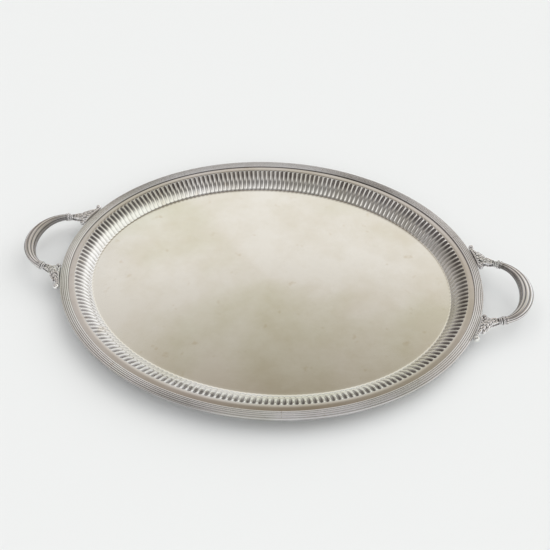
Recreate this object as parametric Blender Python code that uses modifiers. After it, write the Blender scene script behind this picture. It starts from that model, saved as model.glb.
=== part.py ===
"""Oval two-handled serving tray in silver plate.

Row frame: metres, +Z up, +X along the handles, origin on the table under the tray's centre.
The tray is a pressed sheet dish.  Three lengths of reeded wire are soldered round its flange,
and two reeded loop handles are soldered to the rim through cast leaf terminals and ring collars.
"""
import bpy
import bmesh
from math import asin, cos, hypot, pi, radians, sin
from mathutils import Matrix, Vector

# ---- driving dimensions (metres, degrees) ---------------------------------------------------
RIM_HALF_LENGTH = 0.260        # outer edge of the reeded border, along X
RIM_HALF_WIDTH = 0.2138        # the same, along Y
SHEET = 0.0012                 # thickness of the pressed sheet
WALL_HEIGHT = 0.0180           # well floor to flange, top faces
FLANGE_WIDTH_END = 0.0170      # rim edge to the top of the fluted wall, at the handle ends
FLANGE_WIDTH_SIDE = 0.0178     # the same, at the long sides
WALL_WIDTH_END = 0.0170        # plan width of the fluted wall at the handle ends
WALL_WIDTH_SIDE = 0.0218       # the same, at the long sides
WALL_START = 0.42              # slope of the wall at the flange, as a share of its mean slope

BORDER_WIDTH = 0.0105          # reeded wire, across
BORDER_STEP = 0.0017           # height of its inner edge above the flange
BORDER_CROWN = 0.0010          # how much higher its middle stands than its edges
REED_COUNT = 5
REED_DEPTH = 0.0006
LIP_WALL = 0.0012              # the turned-down outer lip that hides the sheet's edge
BORDER_JOINTS = (-79.0, 26.0, 127.0)   # where its three lengths meet, ellipse angle

LOOP_ROOT = 0.0105             # grip centre line: a half ellipse that starts this far past the rim
LOOP_REACH = 0.0372            # from there to its middle, along X
LOOP_HALF_SPAN = 0.0465        # its half width, along Y
LOOP_SWEEP = radians(77.0)     # half angle that the grip covers on that ellipse
COLLAR_LIFT = 0.0052           # collar centres above the flange
APEX_LIFT = 0.0082             # middle of the grip above the flange
GRIP_END_RADIUS = 0.0041
GRIP_HALF_WIDTH = 0.0084       # at its middle, in plan
GRIP_HALF_THICKNESS = 0.0056   # at its middle, upright
GRIP_SWELL_POWER = 1.5         # how quickly the grip swells from its ends to its middle
GRIP_REED_DEPTH = 0.0005

COLLAR_RADIUS = 0.0051
COLLAR_LENGTH = 0.0032
COLLAR_ROUNDING = 0.0008       # off the outer corners of a collar
TENON_RADIUS = 0.0020
TENON_DEPTH = 0.0060           # how far a tenon reaches into the grip

STEM_RADIUS = 0.0036
STEM_SPLAY = 0.0039            # how much further out along Y it lands than its collar stands
STEM_FLARE_POWER = 3.0         # how late the stem flares into the foot
STEM_LANDING_THICKNESS = 0.0024   # half thickness of the stem where it meets the foot
FOOT_OUTER_ARM = 0.0245        # along the rim, from the stem to the far end bead
FOOT_INNER_ARM = 0.0100        # the same, towards the middle of the handle
FOOT_DEPTH = 0.0062            # how far the foot stands out from the rim
FOOT_ROOT_DEPTH = 0.0022       # the part of that depth that carries its rounded front
FOOT_HALF_HEIGHT = 0.0030
FOOT_END_TAPER = 0.62          # size of the foot's section at its ends, as a share of its middle
FOOT_LIFT = 0.0024             # foot centre above the flange
BEAD_RADIUS = 0.0030

GAP = 0.0003                   # solder film between touching pieces

# ---- values worked out from them ------------------------------------------------------------
FLANGE_Z = SHEET + WALL_HEIGHT
LOOP_CENTRE = RIM_HALF_LENGTH + LOOP_ROOT
COLLAR_Z = FLANGE_Z + COLLAR_LIFT
APEX_Z = FLANGE_Z + APEX_LIFT
FOOT_Z = FLANGE_Z + FOOT_LIFT
BORE_RADIUS = TENON_RADIUS + GAP
COLLAR_Y = LOOP_HALF_SPAN * sin(LOOP_SWEEP)
FOOT_ANGLE = asin((COLLAR_Y + STEM_SPLAY) / RIM_HALF_WIDTH)
COLLAR_FACE = 0.5 * COLLAR_LENGTH + GAP   # from a collar's centre to what it is soldered to

# ---- how finely the curves are divided ------------------------------------------------------
RIM_SEGMENTS = 96
RIM_WALK_STEPS = 16
WALL_STATIONS = 5
FLOOR_RING_SHARE = 0.5
LOOP_STATIONS = 22
ROUND_SEGMENTS = 16
STEM_STATIONS = 10
FOOT_STATIONS = 10
FOOT_FRONT_TURNS = (60.0, 20.0, -20.0, -60.0)
BEAD_SEGMENTS = 12
BEAD_RINGS = 8
TANGENT_STEP = 0.001
MERGE_DISTANCE = 0.00005

COLLECTION = "oval_tray"


# ---- scene and materials --------------------------------------------------------------------
def clear_scene():
    for obj in list(bpy.data.objects):
        bpy.data.objects.remove(obj, do_unlink=True)


def new_material(name, colour, roughness):
    material = bpy.data.materials.new(name)
    material.use_nodes = True
    shader = material.node_tree.nodes["Principled BSDF"]
    shader.inputs["Base Color"].default_value = (*colour, 1.0)
    shader.inputs["Roughness"].default_value = roughness
    shader.inputs["Metallic"].default_value = 1.0
    return material


def add_object(name, mesh, material, sharp_angle=35.0):
    mesh.name = name
    mesh.materials.clear()
    mesh.materials.append(material)
    mesh.shade_smooth()
    mesh.set_sharp_from_angle(angle=radians(sharp_angle))
    obj = bpy.data.objects.new(name, mesh)
    bpy.data.collections[COLLECTION].objects.link(obj)
    return obj


# ---- mesh helpers ---------------------------------------------------------------------------
def mesh_from(verts, faces):
    mesh = bpy.data.meshes.new("shape")
    mesh.from_pydata([tuple(v) for v in verts], [], faces)
    mesh.validate()
    return mesh


def outward(mesh):
    bm = bmesh.new()
    bm.from_mesh(mesh)
    bmesh.ops.recalc_face_normals(bm, faces=bm.faces)
    bm.to_mesh(mesh)
    bm.free()
    return mesh


def ring_faces(rings):
    """Quads between neighbouring rings of equal length."""
    count = len(rings[0])
    faces = []
    for i in range(len(rings) - 1):
        here = i * count
        there = here + count
        for j in range(count):
            k = (j + 1) % count
            faces.append((here + j, here + k, there + k, there + j))
    return faces


def loft(rings):
    """A solid through rings of equal length, closed by a flat face at each end."""
    count = len(rings[0])
    verts = [point for ring in rings for point in ring]
    faces = ring_faces(rings)
    faces.append(tuple(range(count)))
    faces.append(tuple(range(len(verts) - count, len(verts))))
    return outward(mesh_from(verts, faces))


def mirrored(mesh, sign_x, sign_y):
    copy = mesh.copy()
    copy.transform(Matrix.Diagonal((sign_x, sign_y, 1.0, 1.0)))
    if sign_x * sign_y < 0:
        copy.flip_normals()
    return copy


def united(meshes):
    """One closed mesh from overlapping closed ones."""
    objects = []
    for mesh in meshes:
        obj = bpy.data.objects.new("union_piece", mesh)
        bpy.context.scene.collection.objects.link(obj)
        objects.append(obj)
    base = objects[0]
    for other in objects[1:]:
        union = base.modifiers.new("union", "BOOLEAN")
        union.operation = "UNION"
        union.solver = "EXACT"
        union.object = other
    evaluated = base.evaluated_get(bpy.context.evaluated_depsgraph_get())
    result = bpy.data.meshes.new_from_object(evaluated)
    for obj in objects:
        bpy.data.objects.remove(obj, do_unlink=True)
    return result


# ---- the rim's oval -------------------------------------------------------------------------
def oval_normal(angle):
    """Outward unit normal of the rim's oval in plan."""
    nx = cos(angle) / RIM_HALF_LENGTH
    ny = sin(angle) / RIM_HALF_WIDTH
    size = hypot(nx, ny)
    return Vector((nx / size, ny / size, 0.0))


def rim_point(angle, inset, z):
    """A point inside the rim's outer edge by inset, measured square to the edge."""
    edge = Vector((RIM_HALF_LENGTH * cos(angle), RIM_HALF_WIDTH * sin(angle), z))
    return edge - oval_normal(angle) * inset


def rim_speed(angle):
    """Length of rim per radian of ellipse angle."""
    return hypot(RIM_HALF_LENGTH * sin(angle), RIM_HALF_WIDTH * cos(angle))


def rim_angle_after(angle, distance):
    """The ellipse angle that lies a distance further along the rim."""
    for _ in range(RIM_WALK_STEPS):
        angle += distance / RIM_WALK_STEPS / rim_speed(angle)
    return angle


# ---- tray body ------------------------------------------------------------------------------
def oval_ring(half_x, half_y, z):
    turn = 2.0 * pi / RIM_SEGMENTS
    return [Vector((half_x * cos(i * turn), half_y * sin(i * turn), z)) for i in range(RIM_SEGMENTS)]


def wall_half_axes(share):
    """Half axes of the wall's oval at a share of its plan width, 0 at the flange and 1 at the floor."""
    half_x = RIM_HALF_LENGTH - FLANGE_WIDTH_END - WALL_WIDTH_END * share
    half_y = RIM_HALF_WIDTH - FLANGE_WIDTH_SIDE - WALL_WIDTH_SIDE * share
    return half_x, half_y


def wall_ring(share):
    drop = WALL_START * share + (1.0 - WALL_START) * share ** 2
    half_x, half_y = wall_half_axes(share)
    return oval_ring(half_x, half_y, FLANGE_Z - WALL_HEIGHT * drop)


def build_body(material):
    """Pressed sheet: a flat flange, a bowed wall and a flat floor, closed by Solidify."""
    turn = 2.0 * pi / RIM_SEGMENTS
    rings = [[rim_point(i * turn, LIP_WALL + GAP, FLANGE_Z) for i in range(RIM_SEGMENTS)]]
    rings.extend(wall_ring(i / WALL_STATIONS) for i in range(WALL_STATIONS + 1))
    floor_x, floor_y = wall_half_axes(1.0)
    rings.append(oval_ring(floor_x * FLOOR_RING_SHARE, floor_y * FLOOR_RING_SHARE, SHEET))
    verts = [point for ring in rings for point in ring]
    faces = ring_faces(rings)
    verts.append(Vector((0.0, 0.0, SHEET)))
    last = (len(rings) - 1) * RIM_SEGMENTS
    for j in range(RIM_SEGMENTS):
        faces.append((last + j, last + (j + 1) % RIM_SEGMENTS, len(verts) - 1))
    body = add_object("tray_body", mesh_from(verts, faces), material)
    shell = body.modifiers.new("sheet", "SOLIDIFY")
    shell.thickness = SHEET
    shell.offset = -1.0
    shell.use_even_offset = True


# ---- reeded border --------------------------------------------------------------------------
def border_profile():
    """Section of the border wire as (inset from the rim edge, z), round the section."""
    base = FLANGE_Z + GAP
    lip_foot = FLANGE_Z - SHEET - GAP
    points = [(0.0, lip_foot)]
    halves = 2 * REED_COUNT
    for i in range(halves + 1):
        share = i / halves
        crest = FLANGE_Z + BORDER_STEP + BORDER_CROWN * (1.0 - (2.0 * share - 1.0) ** 2)
        drop = REED_DEPTH if i % 2 == 0 else 0.0
        points.append((BORDER_WIDTH * share, crest - drop))
    points.append((BORDER_WIDTH, base))
    points.append((LIP_WALL, base))
    points.append((LIP_WALL, lip_foot))
    return points


def build_border(material):
    profile = border_profile()
    joints = [radians(joint) for joint in BORDER_JOINTS]
    joints.append(joints[0] + 2.0 * pi)
    for number in range(len(joints) - 1):
        start = rim_angle_after(joints[number], 0.5 * GAP)
        end = rim_angle_after(joints[number + 1], -0.5 * GAP)
        segments = round(RIM_SEGMENTS * (end - start) / (2.0 * pi))
        rings = []
        for i in range(segments + 1):
            angle = start + (end - start) * i / segments
            rings.append([rim_point(angle, inset, z) for inset, z in profile])
        add_object(f"border_length_{number + 1}", loft(rings), material)


# ---- handles: one quarter is modelled, at +X +Y, and mirrored -------------------------------
def loop_point(angle):
    """Centre line of the grip; angle 0 is its middle."""
    rise = (cos(angle) - cos(LOOP_SWEEP)) / (1.0 - cos(LOOP_SWEEP))
    x = LOOP_CENTRE + LOOP_REACH * cos(angle)
    y = LOOP_HALF_SPAN * sin(angle)
    return Vector((x, y, COLLAR_Z + (APEX_Z - COLLAR_Z) * rise))


def loop_tangent(angle):
    return (loop_point(angle + TANGENT_STEP) - loop_point(angle - TANGENT_STEP)).normalized()


def frame_at(origin, direction):
    """Axes for a section: its local Z runs along direction and its local Y is nearest to up."""
    side = direction.cross(Vector((0.0, 0.0, 1.0))).normalized()
    up = side.cross(direction).normalized()
    matrix = Matrix((side, up, direction)).transposed().to_4x4()
    matrix.translation = origin
    return matrix


def oval_section(frame, half_width, half_thickness, reed=0.0):
    ring = []
    for i in range(ROUND_SEGMENTS):
        turn = 2.0 * pi * i / ROUND_SEGMENTS
        trim = reed if i % 2 else 0.0
        point = Vector(((half_width - trim) * cos(turn), (half_thickness - trim) * sin(turn), 0.0))
        ring.append(frame @ point)
    return ring


def grip_end_angle():
    """Where a grip ends, a solder film short of its collar."""
    reach = hypot(LOOP_REACH * sin(LOOP_SWEEP), LOOP_HALF_SPAN * cos(LOOP_SWEEP))
    return LOOP_SWEEP - COLLAR_FACE / reach


def collar_axis_frame(end, inset):
    """A section frame on a collar's own axis, inset from the collar's centre into the grip."""
    angle = end * LOOP_SWEEP
    inward = loop_tangent(angle) * -end
    return frame_at(loop_point(angle) + inward * inset, loop_tangent(angle))


def build_grip_mesh():
    """The swelling reeded bar, with a blind socket in each end for the terminals' tenons."""
    last = grip_end_angle()
    bar = []
    for i in range(LOOP_STATIONS + 1):
        angle = last * (2.0 * i / LOOP_STATIONS - 1.0)
        swell = max(cos(angle / last * 0.5 * pi), 0.0) ** GRIP_SWELL_POWER
        half_width = GRIP_END_RADIUS + (GRIP_HALF_WIDTH - GRIP_END_RADIUS) * swell
        half_thickness = GRIP_END_RADIUS + (GRIP_HALF_THICKNESS - GRIP_END_RADIUS) * swell
        frame = frame_at(loop_point(angle), loop_tangent(angle))
        if i in (0, LOOP_STATIONS):
            frame = collar_axis_frame(1.0 if i else -1.0, COLLAR_FACE)
        bar.append(oval_section(frame, half_width, half_thickness, GRIP_REED_DEPTH))
    sockets = []
    for end in (-1.0, 1.0):
        depths = (COLLAR_FACE + TENON_DEPTH + GAP, COLLAR_FACE)
        sockets.append([oval_section(collar_axis_frame(end, d), BORE_RADIUS, BORE_RADIUS) for d in depths])
    return loft(sockets[0] + bar + sockets[1][::-1])


def build_collar_mesh():
    """A turned ring with rounded outer corners, bored for the tenon."""
    half = 0.5 * COLLAR_LENGTH
    profile = [
        (BORE_RADIUS, half),
        (COLLAR_RADIUS - COLLAR_ROUNDING, half),
        (COLLAR_RADIUS, half - COLLAR_ROUNDING),
        (COLLAR_RADIUS, COLLAR_ROUNDING - half),
        (COLLAR_RADIUS - COLLAR_ROUNDING, -half),
        (BORE_RADIUS, -half),
    ]
    outline = bpy.data.meshes.new("collar_profile")
    edges = [(i, (i + 1) % len(profile)) for i in range(len(profile))]
    outline.from_pydata([(radius, 0.0, z) for radius, z in profile], edges, [])
    turned = bpy.data.objects.new("collar_profile", outline)
    bpy.context.scene.collection.objects.link(turned)
    screw = turned.modifiers.new("turn", "SCREW")
    screw.steps = ROUND_SEGMENTS
    screw.render_steps = ROUND_SEGMENTS
    screw.use_merge_vertices = True
    screw.merge_threshold = MERGE_DISTANCE
    evaluated = turned.evaluated_get(bpy.context.evaluated_depsgraph_get())
    mesh = bpy.data.meshes.new_from_object(evaluated)
    bpy.data.objects.remove(turned, do_unlink=True)
    mesh.transform(frame_at(loop_point(LOOP_SWEEP), loop_tangent(LOOP_SWEEP)))
    return outward(mesh)


def foot_point(distance, outset, z):
    """A point outside the rim, a distance along it from where the stem lands."""
    return rim_point(rim_angle_after(FOOT_ANGLE, distance), -outset, z)


def build_tenon():
    """The round pin through the collar into the grip's socket."""
    along = loop_tangent(LOOP_SWEEP)
    collar = loop_point(LOOP_SWEEP)
    tip = collar - along * (COLLAR_FACE + TENON_DEPTH)
    root = collar + along * (COLLAR_FACE + STEM_RADIUS)
    return loft([oval_section(frame_at(end, along), TENON_RADIUS, TENON_RADIUS) for end in (tip, root)])


def build_stem():
    """From the collar to the rim, flaring along the rim into both arms of the foot."""
    along = loop_tangent(LOOP_SWEEP)
    start = loop_point(LOOP_SWEEP) + along * COLLAR_FACE
    landing = foot_point(0.0, 0.5 * FOOT_DEPTH, FOOT_Z)
    rim_along = (foot_point(TANGENT_STEP, 0.0, 0.0) - foot_point(-TANGENT_STEP, 0.0, 0.0)).normalized()
    collar_axes = frame_at(start, along)
    collar_side = collar_axes.col[0].to_3d()
    collar_side *= 1.0 if collar_side.dot(rim_along) > 0.0 else -1.0
    collar_up = collar_axes.col[1].to_3d()
    sections = []
    for i in range(STEM_STATIONS + 1):
        share = i / STEM_STATIONS
        flare = share ** STEM_FLARE_POWER
        outer = STEM_RADIUS + (FOOT_OUTER_ARM - BEAD_RADIUS - STEM_RADIUS) * flare
        inner = STEM_RADIUS + (FOOT_INNER_ARM - BEAD_RADIUS - STEM_RADIUS) * flare
        thickness = STEM_RADIUS + (STEM_LANDING_THICKNESS - STEM_RADIUS) * share
        side = collar_side.lerp(rim_along, share).normalized()
        up = collar_up.lerp(Vector((0.0, 0.0, 1.0)), share).normalized()
        middle = start.lerp(landing, share) + side * 0.5 * (outer - inner)
        ring = []
        for j in range(ROUND_SEGMENTS):
            turn = 2.0 * pi * j / ROUND_SEGMENTS
            ring.append(middle + side * 0.5 * (outer + inner) * cos(turn) + up * thickness * sin(turn))
        sections.append(ring)
    return loft(sections)


def build_foot():
    """The bar that is soldered along the rim, round-fronted and lighter towards its ends."""
    bars = []
    for i in range(FOOT_STATIONS + 1):
        share = i / FOOT_STATIONS
        distance = -FOOT_INNER_ARM + (FOOT_INNER_ARM + FOOT_OUTER_ARM) * share
        taper = FOOT_END_TAPER + (1.0 - FOOT_END_TAPER) * sin(pi * share)
        half = FOOT_HALF_HEIGHT * taper
        ring = [foot_point(distance, GAP, FOOT_Z - half), foot_point(distance, GAP, FOOT_Z + half)]
        for turn in FOOT_FRONT_TURNS:
            front = FOOT_ROOT_DEPTH + (FOOT_DEPTH - FOOT_ROOT_DEPTH) * cos(radians(turn))
            ring.append(foot_point(distance, front * taper, FOOT_Z + half * sin(radians(turn))))
        bars.append(ring)
    return loft(bars)


def build_end_bead(distance):
    bead = bmesh.new()
    bmesh.ops.create_uvsphere(bead, u_segments=BEAD_SEGMENTS, v_segments=BEAD_RINGS, radius=BEAD_RADIUS)
    bmesh.ops.translate(bead, vec=foot_point(distance, BEAD_RADIUS + GAP, FOOT_Z), verts=bead.verts)
    mesh = bpy.data.meshes.new("bead")
    bead.to_mesh(mesh)
    bead.free()
    return mesh


def build_terminal_mesh():
    """Cast terminal: stem, foot, tenon and the two beads that end the foot."""
    beads = [build_end_bead(distance) for distance in (-FOOT_INNER_ARM, FOOT_OUTER_ARM)]
    return united([build_stem(), build_foot(), build_tenon()] + beads)


def build_handles(grip_material, cast_material):
    grip = build_grip_mesh()
    collar = build_collar_mesh()
    terminal = build_terminal_mesh()
    for side, sign_x in (("right", 1.0), ("left", -1.0)):
        add_object(f"{side}_grip", mirrored(grip, sign_x, 1.0), grip_material)
        for end, sign_y in (("back", 1.0), ("front", -1.0)):
            add_object(f"{side}_{end}_collar", mirrored(collar, sign_x, sign_y), cast_material)
            add_object(f"{side}_{end}_terminal", mirrored(terminal, sign_x, sign_y), cast_material)


def main():
    clear_scene()
    collection = bpy.data.collections.new(COLLECTION)
    bpy.context.scene.collection.children.link(collection)
    sheet = new_material("plated_sheet", (0.62, 0.58, 0.52), 0.30)
    wire = new_material("reeded_wire", (0.60, 0.58, 0.55), 0.28)
    grip = new_material("grip_silver", (0.60, 0.57, 0.54), 0.22)
    cast = new_material("cast_silver", (0.52, 0.50, 0.48), 0.32)
    build_body(sheet)
    build_border(wire)
    build_handles(grip, cast)


main()
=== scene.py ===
from math import cos, pi, radians, sin

import bmesh
import bpy
import numpy as np
from mathutils import Matrix, Vector


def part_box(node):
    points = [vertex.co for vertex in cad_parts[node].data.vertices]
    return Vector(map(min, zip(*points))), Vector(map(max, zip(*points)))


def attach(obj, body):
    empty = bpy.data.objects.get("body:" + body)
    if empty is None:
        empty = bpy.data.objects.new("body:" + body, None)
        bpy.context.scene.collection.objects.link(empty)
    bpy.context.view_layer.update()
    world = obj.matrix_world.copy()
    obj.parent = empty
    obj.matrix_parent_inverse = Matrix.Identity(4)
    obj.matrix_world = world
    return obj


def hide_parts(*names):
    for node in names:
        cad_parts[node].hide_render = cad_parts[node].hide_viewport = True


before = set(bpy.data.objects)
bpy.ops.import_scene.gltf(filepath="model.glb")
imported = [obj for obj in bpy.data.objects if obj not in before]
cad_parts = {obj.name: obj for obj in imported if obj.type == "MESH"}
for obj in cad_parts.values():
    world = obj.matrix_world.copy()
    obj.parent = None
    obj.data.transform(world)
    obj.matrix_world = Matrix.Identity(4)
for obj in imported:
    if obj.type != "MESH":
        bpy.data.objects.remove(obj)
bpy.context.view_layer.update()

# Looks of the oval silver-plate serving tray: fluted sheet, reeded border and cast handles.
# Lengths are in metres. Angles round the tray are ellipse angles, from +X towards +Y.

MM = 0.001
UPWARDS = Vector((0.0, 0.0, 1.0))
HANDLE_SIDES = (("right", 1.0), ("left", -1.0))
HANDLE_ENDS = (("back", 1.0), ("front", -1.0))

# ---- sizes read from the frame --------------------------------------------------------------
BODY_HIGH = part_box("tray_body")[1]
BORDER_BOXES = [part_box(f"border_length_{i}") for i in (1, 2, 3)]
RIM_X = max(high.x for low, high in BORDER_BOXES)
RIM_Y = max(high.y for low, high in BORDER_BOXES)
FLANGE_Z = BODY_HIGH.z
LIP_FOOT = min(low.z for low, high in BORDER_BOXES)
EDGE_INSET = RIM_X - BODY_HIGH.x

# ---- sheet and wall: a share runs from 0 at the wall's top to 1 at its foot -----------------
SHEET = 1.2 * MM
SOLDER = 0.3 * MM             # film between soldered pieces
FLANGE_END = 17.0 * MM        # from the rim to the wall, at the ends of the oval
FLANGE_SIDE = 17.8 * MM       # and at its sides
UNDER_BORDER = 1.0 * MM       # how far the flange's second row lies under the border
WALL_END = 17.0 * MM          # how far the wall leans in, at the ends
WALL_SIDE = 21.8 * MM         # and at the sides
WALL_START = 0.42             # slope at the wall's top against the slope at its foot
FILLET = 0.055                # share over which the wall's corners are rounded
SLOPE_STEP = 0.01
WALL_SHARES = (
    -0.14, 0.0, 0.03, 0.055, 0.085, 0.12, 0.17, 0.24, 0.33, 0.42, 0.50, 0.58, 0.66, 0.74, 0.82,
    0.88, 0.93, 0.965, 1.0, 1.035, 1.14, 1.28,
)
FLOOR_RINGS = (0.80, 0.35)    # rows of vertices over the floor, as shares of its size
OVAL_STEPS = 20001

# ---- flutes: widths are against half the pitch ----------------------------------------------
FLUTES = 213
FLUTE_COLUMNS = (-1.0, -0.70, -0.42, -0.17, 0.0, 0.17, 0.42, 0.70)
FLUTE_SPACING = 0.25          # share of the wall at which the flutes are evenly spaced
FLUTE_DEPTH = 1.25 * MM
FLUTE_WIDTH = 0.70
FLUTE_FOOT_WIDTH = 0.17
FLUTE_TAPER = (0.32, 0.74)    # shares between which a flute narrows
FLUTE_TOP = 0.03              # share at the crown of its arched top
FLUTE_SPRING = 0.16           # share at which its sides run straight
FLUTE_SHALLOWING = 0.7        # power by which a narrower flute is shallower
FLUTE_NARROWEST = 1e-4
LOBE_BULGE = 0.55 * MM
LOBE_RISE = (0.25, 0.70)      # shares between which the lobes beside the flutes grow
LOBE_FOOT = (0.90, 1.03)      # shares between which flutes and lobes end
LOBE_FOOT_CURVE = 0.07        # how much earlier a lobe ends at its edges
LOBE_FOOT_FADE = 0.08

# ---- tarnish and painted shade on the sheet -------------------------------------------------
FLANGE_TARNISH = 0.32
FLANGE_FADE = (0.0, 0.12)
FLANGE_TINT = (1.0, 1.0, 1.0, 0.7, 0.3)   # row by row, from the edge inwards
# the scoops carry tarnish, deepened into painted shade that stands in for the dark reflections in them
SCOOP_FILL = 1.10             # above 1, tarnish and painted shade fill a scoop almost to its edge
SCOOP_EDGE = 0.02
SCOOP_POWER = 4
SCOOP_THINNING = 0.75         # how much weaker it is where the flute has narrowed
# a dark ring painted in the crease at the back wall's foot stands in for a reflection
CREASE_PAINTED_REFLECTION = 0.75
CREASE_START = (0.96, 1.02)
CREASE_END = (1.12, 1.28)
CREASE_BACK = (0.35, 0.95)    # sines of the angle, so the painted dark reflection in the crease shows at the back only
CREASE_RIPPLE = 0.25
# less painted shade in the scoops towards the front left, where the light leaves them paler
LIGHTER_SIDE_ANGLE = radians(225.0)
LIGHTER_SIDE_SPREAD = (0.5, 1.0)
LIGHTER_SIDE_SHARE = 0.15

# ---- border ---------------------------------------------------------------------------------
BORDER_WIDTH = 10.5 * MM
BORDER_STEP = 1.7 * MM        # height of the border's edges above the flange
BORDER_CROWN = 1.0 * MM       # how much higher its middle is
REEDS = 5
REED_POINTS = 9
REED_DEPTH = 0.75 * MM
REED_ROUNDNESS = 0.7
REED_TARNISH_POWER = 1.2
# painted shade on the outer reeds and the lip, in the fillet and on the inner step, and under the wire
OUTER_PAINTED_SHADE = 0.30          # at the outer edge, fading to none at the inner edge
LIP_WALL = 1.2 * MM
LIP_CORNER = (0.35 * MM, 0.4 * MM)        # inset and height of the corner at the lip's foot
LIP_PAINTED_SHADE = (0.85, 0.70, 0.55)          # upwards from the foot
SOLDER_FILLET = (0.05 * MM, 0.6 * MM)     # how far it stands in and up at the inner edge
SOLDER_PAINTED_SHADE = 0.8
INNER_STEP_PAINTED_SHADE = 1.0
HIDDEN_PAINTED_SHADE = 0.5
BORDER_JOINTS = (-79.0, 26.0, 127.0)      # degrees
JOINT_GAP = 0.3 * MM
BORDER_STATION = 1.6 * MM
BORDER_SHARP = radians(60.0)

# ---- handle loops ---------------------------------------------------------------------------
LOOP_CENTRE = 270.5 * MM
LOOP_REACH = 37.2 * MM
LOOP_HALF_SPAN = 46.5 * MM
LOOP_SWEEP = radians(77.0)    # from a loop's tip to its collars
LOOP_STEP = 0.001
COLLAR_Z = FLANGE_Z + 5.2 * MM
APEX_Z = FLANGE_Z + 8.2 * MM

# ---- grips ----------------------------------------------------------------------------------
GRIP_END_RADIUS = 4.1 * MM
GRIP_HALF_WIDTH = 8.4 * MM
GRIP_HALF_THICKNESS = 5.6 * MM
GRIP_SWELLING = 1.5           # power of the swell from the ends to the middle
GRIP_STATIONS = 120
GRIP_POINTS = 80
GRIP_REEDS = 10
GRIP_REED_DEPTH = 0.95 * MM
GRIP_DEPTH_SHARES = (0.55, 0.45)          # at the collars, and what the swell adds
GRIP_ROUNDNESS = 0.55
GRIP_VALLEY_POWER = 0.55
GRIP_SHADE = 0.80             # painted shade on the inner and lower sides
GRIP_INNER = (0.35, 0.85)
GRIP_UNDER = (-0.15, -0.55)
GRIP_RING_LENGTH = 2.4 * MM
GRIP_RING_HEIGHT = 0.9 * MM
GRIP_SHARP = radians(70.0)

# ---- collars --------------------------------------------------------------------------------
COLLAR_LENGTH = 3.2 * MM
COLLAR_RADIUS = 5.7 * MM
COLLAR_CUT = 1.2 * MM         # depth of the valleys between the beads
COLLAR_TURNS = 112
COLLAR_STATIONS = 29
COLLAR_BEADS = 14
COLLAR_BAND = 0.60            # half length of the row of beads
COLLAR_BEAD_ROUNDNESS = 0.6
COLLAR_RING_PLACE = 0.80
COLLAR_RING_HALF = 0.20
COLLAR_RING_HEIGHT = 0.8
COLLAR_TARNISH = 0.75
COLLAR_SHARP = radians(60.0)

# ---- cast terminals: stem, foot and beads ---------------------------------------------------
STEM_RADIUS = 3.6 * MM
STEM_STATIONS = 17
STEM_POINTS = 24
STEM_CORE = 0.80              # the plain core under the leaves, as a share of the stem
STEM_FLARE = 3                # power by which the stem widens towards the rim
STEM_FOOT_THICKNESS = 0.8
STEM_RINGS = ((0.05, 0.9 * MM), (0.15, 0.6 * MM))     # share of the stem, half length
STEM_RING_SWELL = 1.5
STEM_RING_STATIONS = 9
STEM_RING_POINTS = 32
FOOT_OUTER_ARM = 24.5 * MM
FOOT_INNER_ARM = 10.0 * MM
FOOT_ANGLE = radians(13.3)
FOOT_DEPTH = 6.2 * MM
FOOT_HALF_HEIGHT = 3.0 * MM
FOOT_Z = FLANGE_Z + 2.4 * MM
FOOT_STEPS = 16
FOOT_ROWS = 73
FOOT_POINTS = 9
FOOT_LOBES = 9.0
FOOT_LOBE_ROUNDNESS = 0.6
FOOT_END_GAP = 2.0 * MM       # the bar stops this far short of the end beads' middles
FOOT_TAPER = (0.62, 0.38)     # size at the ends, and what the middle adds
FOOT_LOBE_HEIGHT = (0.80, 0.20)
FOOT_REACH = 0.62
FOOT_BULGE = (0.45, 0.42, 0.13)
FOOT_TURN = 75.0              # degrees above and below level that the section covers
BEAD_RADIUS = 3.0 * MM
OUTER_BEAD_RADIUS = 1.2 * BEAD_RADIUS
OUTER_ARM_BEADS = ((4.2, 2.3), (7.4, 2.7), (10.6, 2.7))   # mm back from the end, mm radius
OUTER_ARM_BEAD_GAP = 0.2
BERRIES = ((-3.0, 1.1), (0.5, 1.3), (4.0, 1.1))           # mm along the foot, mm radius
BERRY_OUTSET = 2.2 * MM
BERRY_HEIGHT = 2.5 * MM
BALL_SUBDIVISIONS = 3

# ---- cast terminals: leaves -----------------------------------------------------------------
LEAF_POINTS = 13              # across a leaf's face
LEAF_BACK_POINTS = 5
LEAF_ROWS_PER_LOBE = 8
LEAF_END_ROWS = 5
LEAF_CROWDING = 0.9           # power that crowds the lobes towards the base
LEAF_BASE = 0.12              # how far along its outline a leaf starts
LEAF_WIDEST = 1.15
LEAF_BLUNTNESS = 0.7
LEAF_NOTCH = (0.62, 0.38)     # width in the notches, and what a lobe adds
LEAF_TIP = 0.03
LEAF_SECTION = 2.2
LEAF_SWELL = (0.7, 0.3)       # thickness in the notches, and what a lobe adds
LEAF_VEIN_DEPTH = 0.35
LEAF_VEIN_HALF = 0.18
LEAF_RIB = 0.22
LEAF_RIB_SLANT = 0.12
LEAF_LOBE_SWEEP = 0.5         # how far the lobes' tips sweep forwards
LEAF_BACK_WIDTH = 0.9
LEAF_BACK_DEPTH = 0.35
# the calyx hugs the stem below the collar: (share of the stem, spread, height) along each leaf
CALYX_SIDES = (-0.75, 0.0, 0.75)
CALYX_SPINE = ((0.10, 0.7, 0.5), (0.32, 0.9, 0.85), (0.56, 1.0, 1.05))
CALYX_LEAF = (1.6 * MM, 0.8 * MM, 3)
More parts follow.
